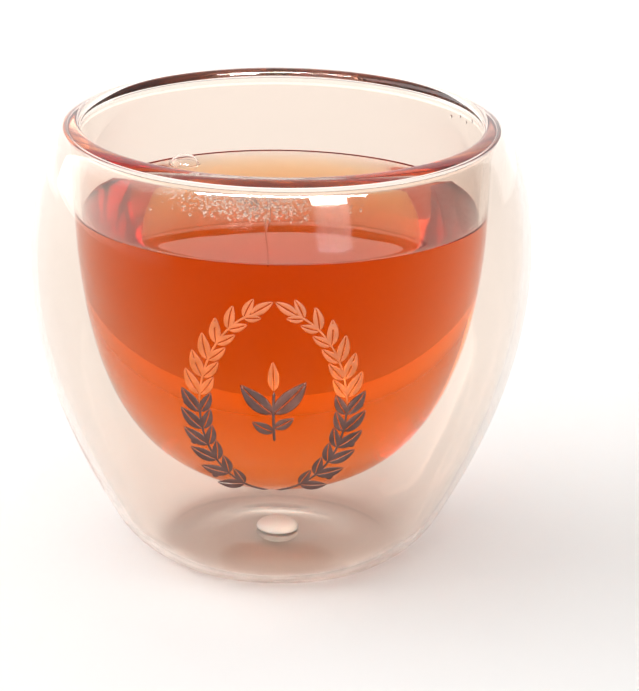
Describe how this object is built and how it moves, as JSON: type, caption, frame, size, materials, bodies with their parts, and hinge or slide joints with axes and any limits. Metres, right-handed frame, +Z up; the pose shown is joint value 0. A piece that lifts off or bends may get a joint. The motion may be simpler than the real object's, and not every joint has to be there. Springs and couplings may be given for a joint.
{
  "type": "double-walled tea glass",
  "caption": "Round double-walled glass cup with a rolled rim, a narrow foot, a vent plug in its base and an amber drink inside.",
  "frame": {"origin": "centre of the foot ring, on the surface that the glass stands on", "axes": "+Z up along the axis of the glass; the printed front faces -Y"},
  "size_m": [0.09, 0.09, 0.08],
  "materials": {
    "glass": "clear blown borosilicate, fire polished",
    "silicone": "translucent moulded silicone",
    "drink": "clear amber liquid"
  },
  "bodies": {
    "root": {"outer_shell": "glass", "inner_bowl": "glass", "vent_plug": "silicone", "drink": "drink"}
  },
  "joints": []
}
